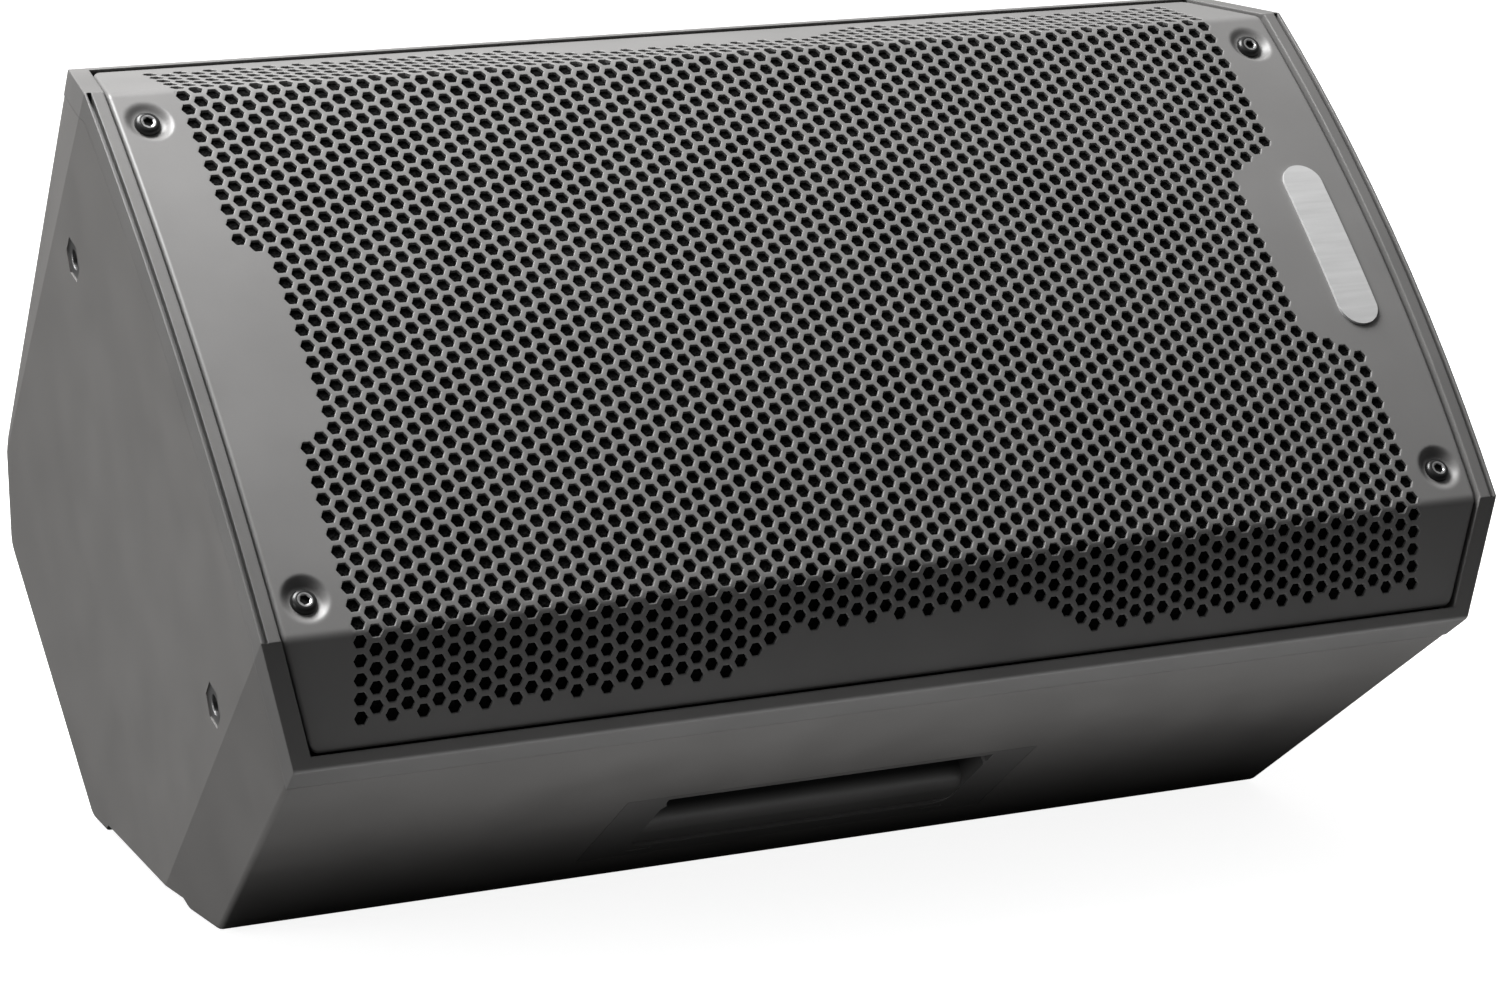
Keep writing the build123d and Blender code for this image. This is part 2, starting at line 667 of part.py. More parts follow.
# ---- amplifier panel ----
JACK_X = (-125.0, -90.0, -55.0)
JACK_Y = -10.0
KNOB_Y = -52.0
BUTTON_X = -25.0
BUTTON_Y = (-58.0, -42.0)
LED_Y = (-24.0, -17.0, -10.0, -3.0)
SINK_X = 30.0
SINK_SIZE = (70.0, 72.0)
SWITCH_X = 88.0
INLET_X = 122.0
TAB_Y = JACK_Y - 12.6


def panel_screw_places():
    half_y = PANEL_SIZE[1] / 2 - 5
    return [(x, PANEL_Y + s * half_y) for x in (-147.0, -73.5, 0.0, 73.5, 147.0) for s in (-1, 1)]


def panel_gasket():
    gasket = block(0, PANEL_Y, PANEL_IN - GASKET_T, PANEL_SIZE[0], PANEL_SIZE[1], GASKET_T, 4)
    gasket -= block(0, PANEL_Y, 0, PANEL_SIZE[0] - 20, PANEL_SIZE[1] - 20, 400, 4)
    for x, y in panel_screw_places():
        gasket -= disc(x, y, 0, 2.1, 400)
    return gasket


def amp_panel():
    panel = block(0, PANEL_Y, PANEL_IN, PANEL_SIZE[0], PANEL_SIZE[1], PANEL_T, 4)
    for x, y in panel_screw_places():
        panel -= disc(x, y, 0, 2.1, 400)
    for x in JACK_X:
        panel -= disc(x, JACK_Y, 0, 12.2, 400)
        panel -= disc(x, KNOB_Y, 0, 3.6, 400)
    for x in JACK_X[:2]:
        panel -= block(x, TAB_Y, 0, 6.6, 5, 400)
    for y in BUTTON_Y:
        panel -= block(BUTTON_X, y, 0, 6.8, 6.8, 400)
    for y in LED_Y:
        panel -= disc(BUTTON_X, y, 0, 1.5, 400)
    panel -= block(SWITCH_X, PANEL_Y, 0, 13.2, 19.4, 400)
    panel -= block(INLET_X, PANEL_Y, 0, 20.2, 28.2, 400)
    return panel


def panel_screws():
    return group(panel_screw(x, y, PANEL_Z, 4.0, 12.0) for x, y in panel_screw_places())


def heatsink():
    length, width = SINK_SIZE
    sink = block(SINK_X, PANEL_Y, PANEL_Z, length, width, 3.5)
    fins = 11
    for i in range(fins):
        x = SINK_X - length / 2 + 1.2 + i * (length - 2.4) / (fins - 1)
        sink += block(x, PANEL_Y, PANEL_Z + 3.5, 2.4, width, 9.0)
    return sink


def jack_body(x):
    jack = block(x, JACK_Y, PANEL_Z, 26, 31, 2, 3)
    jack += disc(x, JACK_Y, 213, 11.9, PANEL_Z - 212)
    return jack


def input_sockets():
    """Two combination sockets: a round mouth with a jack hole at its floor."""
    sockets = []
    for x in JACK_X[:2]:
        socket = jack_body(x) - disc(x, JACK_Y, 227, 9.3, 40) - disc(x, JACK_Y, 216, 3.3, 40)
        socket -= block(x, TAB_Y, 231, 6.0, 4.0, 40)
        sockets.append(socket)
    return group(sockets)


def latch_tab(x):
    """Release tab of a socket's lock, pushed in to free the plug."""
    return block(x, TAB_Y, 235, 5.2, 3.2, PANEL_Z + 3.6 - 235, 0.6)


def link_socket():
    return jack_body(JACK_X[2]) - disc(JACK_X[2], JACK_Y, 226, 10.2, 40)


def contact_pins():
    """Pins of the link socket and blades of the mains inlet."""
    pins = []
    for angle in (90, 210, 330):
        a = math.radians(angle)
        pins.append(disc(JACK_X[2] + 4.9 * math.cos(a), JACK_Y + 4.9 * math.sin(a), 226, 1.2, 10))
    for y, dx in ((-7.0, -2.0), (0.0, 2.0), (7.0, -2.0)):
        pins.append(block(INLET_X + dx, PANEL_Y + y, 227, 4.0, 2.0, 9))
    return group(pins)


def mains_inlet():
    inlet = block(INLET_X, PANEL_Y, PANEL_Z, 22.5, 48, 2.5, 3)
    inlet += block(INLET_X, PANEL_Y, 216, 20, 28, PANEL_Z - 215)
    return inlet - block(INLET_X, PANEL_Y, 227, 16.6, 24.4, 40, 3)


def switch_housing():
    housing = block(SWITCH_X, PANEL_Y, PANEL_Z, 15.5, 22, 1.5, 1.5)
    housing += block(SWITCH_X, PANEL_Y, 222, 13, 19.2, PANEL_Z - 221)
    return housing - block(SWITCH_X, PANEL_Y, 230, 11, 17, 40)


def power_rocker():
    """Rocker cap with two dished faces, resting with its lower end pressed in."""
    outline = [(-7.6, -4), (7.6, -4), (7.6, 2.8), (0, 1.6), (-7.6, 2.8)]
    cap = extrude(Plane.YZ * make_face(Polyline(*outline, close=True)), amount=5.1, both=True)
    return Pos(SWITCH_X, PANEL_Y, PANEL_Z - 0.5) * Rot(10, 0, 0) * cap


def knob(x):
    """Skirted level knob with a moulded spindle that plugs into its potentiometer."""
    cap = Pos(x, KNOB_Y, 0) * revolve(Plane.XZ * make_face(Polyline(
        (0, 231), (2.95, 231), (2.95, PANEL_Z + 0.9), (8.4, PANEL_Z + 0.9), (8.2, PANEL_Z + 3.4),
        (6.4, PANEL_Z + 4.6), (5.9, PANEL_Z + 12.2), (5.2, PANEL_Z + 12.8), (0, PANEL_Z + 12.8),
        close=True)), Axis.Z)
    for i in range(12):
        flute = Rot(0, 0, 30 * i) * disc(6.9, 0, PANEL_Z + 4.4, 0.9, 20)
        cap -= Pos(x, KNOB_Y, 0) * flute
    return cap - block(x, KNOB_Y - 4.0, PANEL_Z + 12.2, 0.9, 5.0, 4)


def potentiometers():
    pots = [block(x, KNOB_Y, 227, 12, 12, PANEL_IN - 227) - disc(x, KNOB_Y, 230.5, 3.3, 40)
            for x in JACK_X]
    return group(pots)


def button(y):
    cap = block(BUTTON_X, y, 234.5, 5.8, 5.8, PANEL_Z + 3.5 - 234.5, 0.8)
    return fillet(cap.faces().sort_by(Axis.Z)[-1].edges(), 0.5)


def button_housings():
    boxes = [block(BUTTON_X, y, 226, 11, 11, PANEL_IN - 226) - block(BUTTON_X, y, 231.5, 6.6, 6.6, 40)
             for y in BUTTON_Y]
    return group(boxes)


def light_pipes():
    pipes = []
    for y in LED_Y:
        pipe = disc(BUTTON_X, y, 234, 1.5, PANEL_Z + 1.0 - 234)
        pipes.append(fillet(pipe.faces().sort_by(Axis.Z)[-1].edges(), 0.7))
    return group(pipes)


# ---- electronics ----
INPUT_BOARD_Z = 208.0
POWER_BOARD_Z = 196.0


def input_board():
    return block(-85, -30, INPUT_BOARD_Z, 130, 66, 1.6)


def power_board():
    return block(80, -30, POWER_BOARD_Z, 136, 66, 1.6)


def board_standoffs():
    spots = [(-137.0, -59.0), (-137.0, -1.0), (-38.0, -1.0)]
    posts = [disc(x, y, INPUT_BOARD_Z + 1.6, 3, PANEL_IN - INPUT_BOARD_Z - 1.6) for x, y in spots]
    spots = [(16.0, -59.0), (16.0, -1.0), (137.0, -59.0), (137.0, -1.0)]
    posts += [disc(x, y, POWER_BOARD_Z + 1.6, 3, PANEL_IN - POWER_BOARD_Z - 1.6) for x, y in spots]
    return group(posts)


def filter_capacitors():
    cans = [Pos(x, y, POWER_BOARD_Z) * Cylinder(11, 30, align=MAX)
            for x in (28.0, 54.0) for y in (-48.0, -20.0)]
    return group(cans)


def transformer():
    core = Pos(100, -30, POWER_BOARD_Z) * Box(34, 42, 26, align=MAX)
    coil = Pos(100, -30, POWER_BOARD_Z - 3) * Box(46, 26, 20, align=MAX)
    return core + coil


def power_transistors():
    blocks = [block(x, y, PANEL_IN - 5, 16, 20, 5) for x in (28.0, 50.0) for y in (-48.0, -16.0)]
    return group(blocks)


def wire(points, radii, radius):
    path = FilletPolyline(*points, radius=radii)
    start = Plane(origin=path @ 0, z_dir=path % 0)
    return sweep(start * Circle(radius), path=path)


def speaker_leads():
    """Leads from the power board to the woofer's frame and to the compression driver."""
    woofer_lead = wire([(66, 0, POWER_BOARD_Z), (66, 0, 180), (66, 70, 146), (60, 82, 104),
                        (55, 72, 76), (60.6, 57.4, 70)], [9, 18, 12, 6], 2.0)
    driver_lead = wire([(12, 0, POWER_BOARD_Z), (12, 0, 182), (-40, 26, 156), (-80, 12, 148),
                        (-80, 12, THROAT_Z + 46)], [9, 16, 9], 2.0)
    return group([woofer_lead, driver_lead])


# ---- where it stands, and export ----
def standing_place():
    """Cabinet axes to the part's: leaned back, centred on its footprint, pads on the floor."""
    angle = math.radians(LEAN)
    lean = Plane(origin=(0, 0, 0), x_dir=(1, 0, 0), z_dir=(0, math.cos(angle), -math.sin(angle)))
    outline = (lean * (body(0.0) & behind(0.0))).bounding_box()
    pads = (lean * floor_pads()).bounding_box()
    depth_middle = (outline.min.Y + outline.max.Y) / 2
    return Plane(origin=(0, -depth_middle, -pads.min.Z), x_dir=(1, 0, 0), z_dir=lean.z_dir)


PARTS = {
    "cabinet_shell": cabinet_shell(),
    "front_frame": front_frame(),
    "grille": grille(),
    "grille_foam": grille_foam(),
    "grille_screws": grille_screws(),
    "frame_screws": frame_screws(),
    "badge": badge(),
    "woofer_basket": woofer_basket(),
    "woofer_gasket": woofer_gasket(),
    "woofer_surround": woofer_surround(),
    "woofer_cone": woofer_cone(),
    "dust_cap": dust_cap(),
    "voice_coil_former": voice_coil_former(),
    "voice_coil_winding": voice_coil_winding(),
    "spider": spider(),
    "woofer_top_plate": woofer_top_plate(),
    "woofer_magnet": woofer_magnet(),
    "woofer_yoke": woofer_yoke(),
    "woofer_screws": woofer_screws(),
    "horn_waveguide": horn_waveguide(),
    "horn_screws": horn_screws(),
    "driver_front_plate": driver_front_plate(),
    "driver_magnet": driver_magnet(),
    "driver_back_plate": driver_back_plate(),
    "driver_diaphragm": driver_diaphragm(),
    "driver_rear_cap": driver_rear_cap(),
    "port_tubes": port_tubes(),
    "handle_cup": handle_cup(),
    "pole_socket": pole_socket(),
    "rigging_inserts": rigging_inserts(),
    "floor_pads": floor_pads(),
    "end_feet": end_feet(),
    "damping_wadding": damping_wadding(),
    "amp_panel": amp_panel(),
    "panel_gasket": panel_gasket(),
    "panel_screws": panel_screws(),
    "heatsink": heatsink(),
    "input_sockets": input_sockets(),
    "latch_tab_1": latch_tab(JACK_X[0]),
    "latch_tab_2": latch_tab(JACK_X[1]),
    "link_socket": link_socket(),
    "contact_pins": contact_pins(),
    "mains_inlet": mains_inlet(),
    "switch_housing": switch_housing(),
    "power_rocker": power_rocker(),
    "level_knob_1": knob(JACK_X[0]),
    "level_knob_2": knob(JACK_X[1]),
    "level_knob_3": knob(JACK_X[2]),
    "potentiometers": potentiometers(),
    "button_1": button(BUTTON_Y[0]),
    "button_2": button(BUTTON_Y[1]),
    "button_housings": button_housings(),
    "light_pipes": light_pipes(),
    "input_board": input_board(),
    "power_board": power_board(),
    "board_standoffs": board_standoffs(),
    "filter_capacitors": filter_capacitors(),
    "transformer": transformer(),
    "power_transistors": power_transistors(),
    "speaker_leads": speaker_leads(),
}

STAND = standing_place()
print("cabinet axes origin", STAND.origin)
os.makedirs("parts", exist_ok=True)
for name, shape in PARTS.items():
    export_step(STAND * shape, f"parts/{name}.step")
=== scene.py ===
"""Looks of the stage monitor wedge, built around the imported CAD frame."""

import json
import math

import bmesh
import bpy
from mathutils import Matrix, Vector
from mathutils.kdtree import KDTree


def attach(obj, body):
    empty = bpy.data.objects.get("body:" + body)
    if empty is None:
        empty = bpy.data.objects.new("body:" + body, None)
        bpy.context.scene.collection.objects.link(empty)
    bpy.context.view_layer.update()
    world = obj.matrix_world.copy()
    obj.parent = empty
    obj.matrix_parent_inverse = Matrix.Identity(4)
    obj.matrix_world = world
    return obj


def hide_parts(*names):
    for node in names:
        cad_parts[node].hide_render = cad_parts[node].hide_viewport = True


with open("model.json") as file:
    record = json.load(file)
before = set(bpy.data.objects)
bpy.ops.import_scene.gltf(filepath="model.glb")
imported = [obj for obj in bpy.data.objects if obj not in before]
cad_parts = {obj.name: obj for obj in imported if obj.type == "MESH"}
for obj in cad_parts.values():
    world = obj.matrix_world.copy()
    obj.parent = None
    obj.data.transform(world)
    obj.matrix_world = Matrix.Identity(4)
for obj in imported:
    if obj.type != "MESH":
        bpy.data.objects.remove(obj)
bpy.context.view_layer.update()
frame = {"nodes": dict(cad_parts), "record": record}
NODES = frame["nodes"]
MM = 0.001

# ---- the cabinet's own axes: x along it, y across the front, z into it, in millimetres ----
HALF = math.sqrt(0.5)
ORIGIN = Vector((0.0, -84.2164, 198.707))


def place(x, y, z):
    """A cabinet point in millimetres, as a point of the row frame in metres."""
    return Vector((x, ORIGIN.y + (z - y) * HALF, ORIGIN.z - (y + z) * HALF)) * MM


# ---- the cabinet's outline and the front's profile, as in the CAD, in millimetres ----
HALF_LENGTH, LIP_X = 225.0, 215.0
END_TAPER = 0.126           # how far an end leans in, per millimetre of depth
BACK_Z = 254.4
CREASE_Y, CROWN = 102.0, 7.0
LIP = (132.0, 28.8)         # (y, z)
FLOOR_EDGE, FLOOR_EDGE_X = (118.9, 160.7), 198.9
REAR_TOP, REAR_TOP_X = (-110.0, 218.4), 196.5
GRILLE_DROP = 0.8
GRILLE_T = 1.2
GRILLE_FOLD = 4.6
END_INSET = 7.5             # the sheet's edge lies this far in from the ends
LIP_INSET = 4.2             # and from the long sides
SCREW_X, SCREW_Y = 207.0, 89.0
SEAT_DEPTH = 2.6            # underside of the screw heads, below the sheet's outer skin
DIMPLE_DEPTH = 2.1
DIMPLE_R = 8.3
DIMPLE_SLOPE = 3.6

FRONT_R = (CREASE_Y ** 2 + CROWN ** 2) / (2 * CROWN)
TILT = math.asin(CREASE_Y / FRONT_R)
STRIP_ANGLE = math.atan2(LIP[1], LIP[0] - CREASE_Y)
SHARE = GRILLE_DROP / (1 + math.cos(STRIP_ANGLE - TILT))
CREASE = (CREASE_Y - SHARE * (math.sin(TILT) + math.sin(STRIP_ANGLE)),
          SHARE * (math.cos(TILT) + math.cos(STRIP_ANGLE)))
SHEET_R = FRONT_R - GRILLE_DROP
CREASE_ANGLE = math.asin(CREASE[0] / SHEET_R)
CREASE_S = SHEET_R * CREASE_ANGLE
BEND_R = 6.0
BEND_HALF = BEND_R * math.tan((STRIP_ANGLE - CREASE_ANGLE) / 2)


def section(s):
    """Point (y, z) of the outer skin and its angle, at developed distance s from the middle."""
    side, s = (1 if s >= 0 else -1), abs(s)
    if s < CREASE_S - BEND_HALF:
        angle = s / SHEET_R
        y = SHEET_R * math.sin(angle)
        z = GRILLE_DROP - CROWN + SHEET_R * (1 - math.cos(angle))
    elif s > CREASE_S + BEND_HALF:
        angle = STRIP_ANGLE
        y = CREASE[0] + (s - CREASE_S) * math.cos(angle)
        z = CREASE[1] + (s - CREASE_S) * math.sin(angle)
    else:
        start = (CREASE_S - BEND_HALF) / SHEET_R
        turn = (s - CREASE_S + BEND_HALF) / (2 * BEND_HALF)
        angle = start + (STRIP_ANGLE - start) * turn
        y = (SHEET_R * math.sin(start)
             + BEND_R * (math.sin(angle) - math.sin(start)))
        z = (GRILLE_DROP - CROWN + SHEET_R * (1 - math.cos(start))
             + BEND_R * (math.cos(start) - math.cos(angle)))
    return side * y, z, side * angle


SKIN_AT_SCREW = section(math.asin(SCREW_Y / SHEET_R) * SHEET_R)[1]


def smooth(t):
    """0 to 1 with level ends."""
    t = min(max(t, 0.0), 1.0)
    return t * t * (3 - 2 * t)


def sheet_point(x, s, depth):
    """Point of the grille at (x, s), depth below its outer skin, with the screw dimples."""
    y, z, angle = section(s)
    y -= depth * math.sin(angle)
    z += depth * math.cos(angle)
    away = math.hypot(abs(x) - SCREW_X, abs(y) - SCREW_Y)
    if away < DIMPLE_R:
        seat = SKIN_AT_SCREW + DIMPLE_DEPTH + depth
        z += (seat - z) * smooth((DIMPLE_R - away) / DIMPLE_SLOPE)
    return place(x, y, z)


# ---- the grille's outline in (x, s) ----
def plane(a, b, c):
    """Outward normal of the right end's plane through three points, and a point of it."""
    n = (Vector(b) - Vector(a)).cross(Vector(c) - Vector(a)).normalized()
    return (n if n.x > 0 else -n), Vector(a)


LOW_CREASE, HIGH_CREASE = (HALF_LENGTH, CREASE_Y, 0), (HALF_LENGTH, -CREASE_Y, 0)
END_PLANES = [
    plane(LOW_CREASE, HIGH_CREASE, (HALF_LENGTH - END_TAPER * BACK_Z, 0, BACK_Z)),
    plane(LOW_CREASE, (LIP_X, LIP[0], LIP[1]), (FLOOR_EDGE_X, *FLOOR_EDGE)),
    plane(HIGH_CREASE, (LIP_X, -LIP[0], LIP[1]), (REAR_TOP_X, *REAR_TOP)),
]


def end_x(s):
    """Half length of the grille at s."""
    y, z, _ = section(s)
    xs = []
    for n, a in END_PLANES:
        xs.append(a.x + (-END_INSET - n.y * (y - a.y) - n.z * (z - a.z)) / n.x)
    return min(xs)


def strip_end(foot, side):
    """Developed distance of the grille's long edge: the side plane moved in by the inset."""
    along = Vector((foot[0] - side * LIP[0], foot[1] - LIP[1])).normalized()
    normal = Vector((along.y, -along.x)) * (1 if side > 0 else -1)
    start = Vector((side * CREASE[0], CREASE[1])) - Vector((side * LIP[0], LIP[1]))
    run = Vector((side * math.cos(STRIP_ANGLE), math.sin(STRIP_ANGLE)))
    return CREASE_S + (-LIP_INSET - start.dot(normal)) / run.dot(normal)


LOW_S = strip_end(FLOOR_EDGE, 1)
HIGH_S = -strip_end(REAR_TOP, -1)
EDGE_R = 1.3                # the sheet's edge is rolled over at this radius
CORNER_R = 1.4
CORNER_STEPS = 5
ROLL_STEPS = 5
EDGE_BREAK = 0.2            # small chamfer on the folded edge
SIDE_STEPS = 90
END_SLANT = 1.01            # step along x for each step square to the leaning ends


def outline(inset):
    """Grille outline as a list of (x, s), moved in by inset, with rounded corners."""
    low, high = LOW_S - inset, HIGH_S + inset
    first, last = high + CORNER_R, low - CORNER_R
    stops = [first + (last - first) * i / SIDE_STEPS for i in range(SIDE_STEPS + 1)]
    stops = sorted(stops + [CREASE_S, -CREASE_S])
    right = [(end_x(s) - inset * END_SLANT, s) for s in stops]
    for i in range(1, CORNER_STEPS + 1):
        a = math.pi / 2 * i / CORNER_STEPS
        across, along = CORNER_R * (1 - math.cos(a)), CORNER_R * (1 - math.sin(a))
        right.append((end_x(low) - inset * END_SLANT - across, low - along))
        right.insert(0, (end_x(high) - inset * END_SLANT - across, high + along))
    left = [(-x, s) for x, s in reversed(right)]
    return right + left


# ---- the perforation ----
PITCH = 6.0
COLUMN = PITCH * math.sqrt(3) / 2
CELL_R = PITCH / math.sqrt(3)
HOLE_R = 4.25 / math.sqrt(3)
HOLE_EDGE = [(0.24, 0.0), (0.08, 0.06), (0.0, 0.22), (0.0, GRILLE_T)]   # (wider by, depth)
CORNER_CUT = 0.06           # share of a hole's side cut off at each corner
ROWS = 21.0                 # rows on each side of the middle
NOTCH_ROWS = 19.5           # and above the two long notches
NOTCH_FLAT, NOTCH_EDGE = 9, 13
COLUMNS = 37
BADGE_COLUMN, BADGE_ROWS = 34, 5
GRID_COLUMNS, GRID_ROWS = 42, 50    # the pattern reaches past the sheet, in columns and half rows
SHAPED_CUTS = 4             # finer mesh where the plain sheet is dimpled or bent
GRID = 200.0                # points closer than about 5 micrometres are one vertex


def punched(c, w):
    """True where the sheet has a hole: column c, and row w counted in pitches from the middle."""
    if abs(c) > COLUMNS:
        return False
    limit = ROWS if c % 2 == 0 else ROWS + 0.5
    if abs(c) < NOTCH_EDGE:
        limit = NOTCH_ROWS + 0.5 * max(0, abs(c) - NOTCH_FLAT)
    if abs(w) > limit:
        return False
    if c <= 1 - COLUMNS:
        return abs(w) > BADGE_ROWS - 0.5 * (c + COLUMNS - 1)
    if c >= BADGE_COLUMN:
        return abs(w) > BADGE_ROWS + 0.5 * (c - BADGE_COLUMN)
    return True


def clip(poly, ring):
    """Convex polygon poly cut to the convex ring, both counter-clockwise."""
    out = poly
    for (ax, ay), (bx, by) in zip(ring, ring[1:] + ring[:1]):
        ex, ey = bx - ax, by - ay
        size = math.hypot(ex, ey)
        if size < 1e-9:
            continue
        sides = [((px - ax) * ey - (py - ay) * ex) / size for px, py in out]
        if max(sides) < -1e-7:
            continue
        new = []
        for i, (p, d) in enumerate(zip(out, sides)):
            q, e = out[(i + 1) % len(out)], sides[(i + 1) % len(out)]
            if d <= 1e-7:
                new.append(p)
            if (d <= 1e-7) != (e <= 1e-7):
                t = d / (d - e)
                new.append((p[0] + (q[0] - p[0]) * t, p[1] + (q[1] - p[1]) * t))
        out = new
        if len(out) < 3:
            return []
    return out


def hexagon(x, s, radius):
    """Corners with the points towards the ends, counter-clockwise in (x, s)."""
    return [(x + radius * math.cos(math.pi / 3 * k),
             s + radius * math.sin(math.pi / 3 * k)) for k in range(6)]


def hole_ring(x, s, radius):
    """Hexagon with each corner cut off a little, as 12 points."""
    corners = hexagon(x, s, radius)
    ring = []
    for k in range(6):
        px, ps = corners[k]
        for q in (corners[k - 1], corners[(k + 1) % 6]):
            ring.append((px + (q[0] - px) * CORNER_CUT, ps + (q[1] - ps) * CORNER_CUT))
    return ring


def make_grille():
    """The perforated sheet: built flat as (x, s, depth), then every vertex is bent into place."""
    bm = bmesh.new()
    known = {}

    def vertex(x, s, depth):
        kx, ks = round(x * GRID), round(s * GRID)
        for dx in (0, -1, 1):
            for ds in (0, -1, 1):
                found = known.get((kx + dx, ks + ds, depth))
                if found:
                    return found
        v = bm.verts.new((x, s, depth))
        known[(kx, ks, depth)] = v
        return v

    def face(points):
        verts = []
        for v in points:
            if v not in verts:
                verts.append(v)
        return bm.faces.new(verts) if len(verts) > 2 else None

    ring = outline(EDGE_R)
    shaped = []
    for c in range(-GRID_COLUMNS, GRID_COLUMNS + 1):
        for k in range(-GRID_ROWS, GRID_ROWS + 1):
            if (k % 2 == 0) != (c % 2 == 0):
                continue
            x, s = c * COLUMN, k * PITCH / 2
            cell = hexagon(x, s, CELL_R)
            if punched(c, k / 2):
                punched_cell(vertex, face, x, s, cell)
                continue
            part = clip(cell, ring)
            if not part:
                continue
            skins = [face([vertex(px, ps, 0.0) for px, ps in part]),
                     face([vertex(px, ps, GRILLE_T) for px, ps in reversed(part)])]
            near_screw = math.hypot(abs(x) - SCREW_X, abs(s) - SCREW_Y) < DIMPLE_R + CELL_R
            if near_screw or abs(abs(s) - CREASE_S) < BEND_HALF + CELL_R:
                shaped += [f for f in skins if f]
    poked = bmesh.ops.poke(bm, faces=shaped)["faces"]
    inner = list({e for f in poked for e in f.edges})
    bmesh.ops.subdivide_edges(bm, edges=inner, cuts=SHAPED_CUTS, use_grid_fill=True)
    rolled_rim(bm, skin_border(bm))
    for v in bm.verts:
        v.co = sheet_point(*v.co)
    bmesh.ops.recalc_face_normals(bm, faces=bm.faces)
    return bm


def punched_cell(vertex, face, x, s, cell):
    """One pitch of sheet with a hexagonal hole whose edge is slightly rounded."""
    loops = [[vertex(px, ps, depth) for px, ps in hole_ring(x, s, HOLE_R + wider)]
             for wider, depth in HOLE_EDGE]
    top = [vertex(px, ps, 0.0) for px, ps in cell]
    low = [vertex(px, ps, GRILLE_T) for px, ps in cell]
    for i in range(6):
        j = (i + 1) % 6
        face([top[i], top[j], loops[0][2 * j], loops[0][2 * i + 1]])
        face([top[i], loops[0][2 * i + 1], loops[0][2 * i]])
        face([low[j], low[i], loops[3][2 * i + 1], loops[3][2 * j]])
        face([low[i], loops[3][2 * i], loops[3][2 * i + 1]])
    for a, b in zip(loops, loops[1:]):
        for i in range(12):
            j = (i + 1) % 12
            face([a[i], a[j], b[j], b[i]])


def skin_border(bm):
    """Border of the outer skin, counter-clockwise, as (x, s, skin vertex, back vertex)."""
    back = [v for v in bm.verts if abs(v.co.z - GRILLE_T) < 1e-4]
    tree = KDTree(len(back))
    for i, v in enumerate(back):
        tree.insert(v.co, i)
    tree.balance()
    edges = {e for e in bm.edges if len(e.link_faces) == 1 and e.verts[0].co.z < 1e-4}
    at = next(iter(edges)).verts[0]
    order = []
    while True:
        step = next((e for e in at.link_edges if e in edges), None)
        if step is None:
            break
        edges.discard(step)
        order.append(at)
        at = step.other_vert(at)
    ring = [(v.co.x, v.co.y, v, back[tree.find((v.co.x, v.co.y, GRILLE_T))[1]]) for v in order]
    area = sum(p[0] * q[1] - q[0] * p[1] for p, q in zip(ring, ring[1:] + ring[:1]))
    return ring if area > 0 else ring[::-1]


def rolled_rim(bm, ring_out):
    """Rolls the sheet's rim over and down into the frame's rebate, from skin to skin."""
    angles = [math.pi / 2 * i / ROLL_STEPS for i in range(1, ROLL_STEPS + 1)]
    profile = [(EDGE_R * math.sin(a), EDGE_R * (1 - math.cos(a))) for a in angles]
    profile += [(EDGE_R, GRILLE_FOLD - EDGE_BREAK), (EDGE_R - EDGE_BREAK, GRILLE_FOLD),
                (EDGE_R - GRILLE_T, GRILLE_FOLD), (EDGE_R - GRILLE_T, EDGE_R + 0.4)]
    count = len(ring_out)
    loops = []
    for out, depth in profile:
        loop = []
        for i, (x, s, top, low) in enumerate(ring_out):
            a, b = ring_out[i - 1], ring_out[(i + 1) % count]
            ex, es = b[0] - a[0], b[1] - a[1]
            size = math.hypot(ex, es)
            loop.append(bm.verts.new((x + es / size * out, s - ex / size * out, depth)))
        loops.append(loop)
    loops.insert(0, [r[2] for r in ring_out])
    loops.append([r[3] for r in ring_out])
    for a, b in zip(loops, loops[1:]):
        for i in range(count):
            j = (i + 1) % count
            quad = [a[i], a[j], b[j], b[i]]
            if len(set(quad)) == 4:
                bm.faces.new(quad)


# ---- putting pieces in the scene ----
def add_mesh(name, bm, material, body="cabinet", sharp=50.0):
    """New piece riding a body, smooth except at edges sharper than the given angle."""
    mesh = bpy.data.meshes.new(name)
    bm.to_mesh(mesh)
    bm.free()
    for polygon in mesh.polygons:
        polygon.use_smooth = True
    mesh.set_sharp_from_angle(angle=math.radians(sharp))
    obj = bpy.data.objects.new(name, mesh)
    bpy.context.scene.collection.objects.link(obj)
    mesh.materials.append(material)
    weigh = obj.modifiers.new("weigh", "WEIGHTED_NORMAL")
    weigh.keep_sharp = True
    weigh.weight = 100
    with bpy.context.temp_override(object=obj, active_object=obj, selected_objects=[obj]):
        bpy.ops.object.modifier_apply(modifier=weigh.name)
    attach(obj, body)
    return obj


# ---- materials ----
def add_node(tree, kind, links=(), **values):
    """New shader node: its inputs linked by name, then its sockets or settings given values."""
    new = tree.nodes.new("ShaderNode" + kind)
    for key, value in values.items():
        if hasattr(new, key):
            setattr(new, key, value)
        else:
            new.inputs[key.replace("_", " ")].default_value = value
    for socket, source in dict(links).items():
        tree.links.new(source, new.inputs[socket])
    return new


